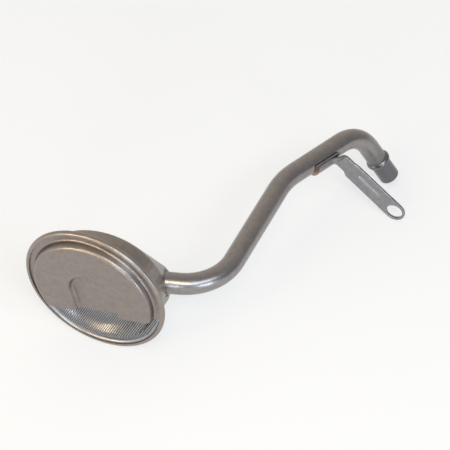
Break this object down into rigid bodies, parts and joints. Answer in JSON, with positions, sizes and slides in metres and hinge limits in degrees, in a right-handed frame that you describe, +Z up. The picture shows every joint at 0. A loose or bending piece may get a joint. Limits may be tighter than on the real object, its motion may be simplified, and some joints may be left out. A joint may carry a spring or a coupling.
{
  "type": "oil pickup tube",
  "caption": "Engine oil pickup: a screened stamped bell with a half cover plate, a bent steel suction tube with a beaded press-in stub, and a brazed bolt-on bracket.",
  "frame": {"origin": "middle of the bottom of the part's box, on the surface it lies on", "axes": "+Z up, +Y along the bell's axis from the screen towards the stub, +X along the way the tube leaves the bell"},
  "size_m": [0.2126, 0.2686, 0.1091],
  "materials": {
    "bell_steel": "satin stamped sheet",
    "mesh": "woven wire",
    "plate_steel": "satin stamped sheet",
    "tube_steel": "satin drawn tube",
    "bracket_steel": "satin stamped strap",
    "braze": "copper-coloured braze"
  },
  "bodies": {
    "root": {"housing": "bell_steel", "screen": "mesh", "cover_plate": "plate_steel", "pickup_tube": "tube_steel", "bracket": "bracket_steel", "housing_braze": "braze", "bracket_braze": "braze"}
  },
  "joints": []
}
